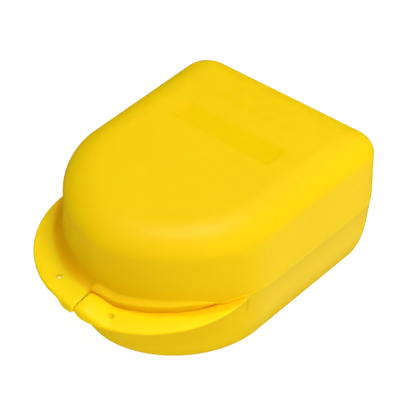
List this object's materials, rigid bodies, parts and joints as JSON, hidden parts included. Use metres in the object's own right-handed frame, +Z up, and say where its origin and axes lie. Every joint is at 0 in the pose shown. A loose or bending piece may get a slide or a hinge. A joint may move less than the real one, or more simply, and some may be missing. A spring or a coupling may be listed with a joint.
{
  "type": "mouthguard with case",
  "caption": "Hard plastic carry case with a hinged domed lid, a round nose and half-crescent thumb tabs, holding a boil-and-bite mouthguard.",
  "frame": {"origin": "centre of the closed case's whole outline, tabs and hinge included, on the ground plane it stands on", "axes": "+Z up; -Y is the round nose with the thumb tabs, +Y is the hinge side; +X is to the right seen from behind the nose tabs looking to the hinge"},
  "size_m": [0.073, 0.1046, 0.0482],
  "materials": {
    "tray_plastic": "satin moulded polypropylene, yellow",
    "lid_plastic": "satin moulded polypropylene, yellow",
    "guard_shell": "glossy moulded EVA, yellow",
    "guard_liner": "soft gel EVA, clear"
  },
  "bodies": {
    "tray": {"case_tray": "tray_plastic"},
    "lid": {"case_lid": "lid_plastic"},
    "mouthguard": {"mouthguard_shell": "guard_shell", "mouthguard_liner": "guard_liner"}
  },
  "joints": [
    {"name": "lid_hinge", "type": "hinge", "parent": "tray", "child": "lid", "pos_m": [0, 0.04997, 0.0265], "axis": [-1, 0, 0], "range_deg": [0, 180]},
    {"name": "mouthguard_lift", "type": "slide", "parent": "tray", "child": "mouthguard", "axis": [0, 0, 1], "range_m": [0, 0.014]}
  ]
}
